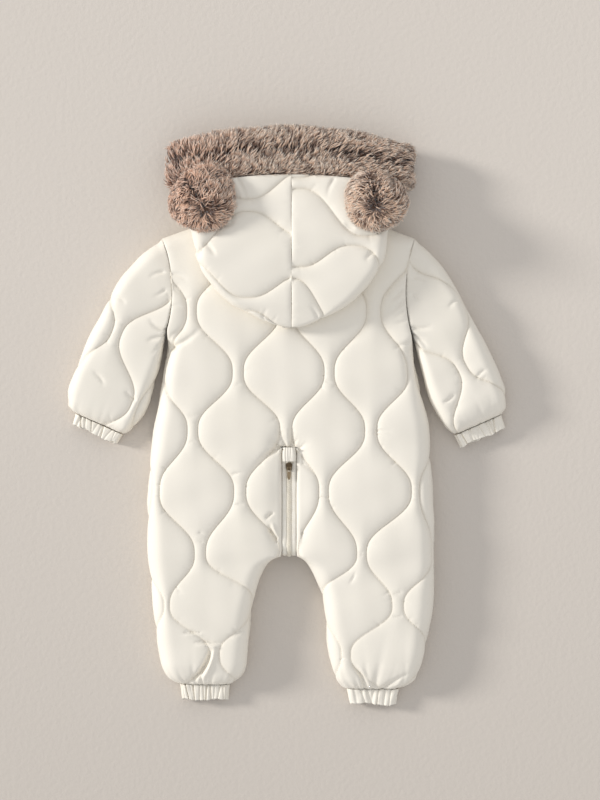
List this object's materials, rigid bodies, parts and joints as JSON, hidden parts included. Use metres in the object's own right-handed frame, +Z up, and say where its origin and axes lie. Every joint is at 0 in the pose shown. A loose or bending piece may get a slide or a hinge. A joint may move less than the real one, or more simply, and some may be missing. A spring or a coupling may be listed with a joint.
{
  "type": "toddler snowsuit",
  "caption": "Quilted, padded one-piece snowsuit for a toddler, laid flat back side up, with a fur-trimmed hood with ears and a zip round the crotch.",
  "frame": {"origin": "centre of the garment's outline, on the surface it lies on", "axes": "+Z up from the surface, +Y from the legs towards the hood, +X to the right as the back is looked at"},
  "size_m": [0.5432, 0.7074, 0.0837],
  "materials": {
    "shell_cloth": "smooth cream polyester with a soft sheen, quilted in wavy columns",
    "pile_fur": "shaggy brown pile with paler tips",
    "zip_tape": "cream woven tape with moulded cream coils",
    "zip_metal": "dark antique metal, worn paler at the edges"
  },
  "bodies": {
    "root": {"back": "shell_cloth", "front_left": "shell_cloth", "front_right": "shell_cloth", "sleeve_left": "shell_cloth", "sleeve_right": "shell_cloth", "cuff_left": "shell_cloth", "cuff_right": "shell_cloth", "ankle_left": "shell_cloth", "ankle_right": "shell_cloth", "hood_left": "shell_cloth", "hood_right": "shell_cloth", "zip_guard": "shell_cloth", "hood_trim": "pile_fur", "ear_left": "pile_fur", "ear_right": "pile_fur", "zip_tape_left": "zip_tape", "zip_tape_right": "zip_tape", "zip_chain": "zip_tape", "zip_slider": "zip_metal"},
    "pull": {"zip_pull": "zip_metal"}
  },
  "joints": [
    {"name": "zip_pull_swing", "type": "hinge", "parent": "root", "child": "pull", "pos_m": [0.00337, -0.0604, 0.038], "axis": [-1, 0, 0], "range_deg": [0, 135]}
  ]
}
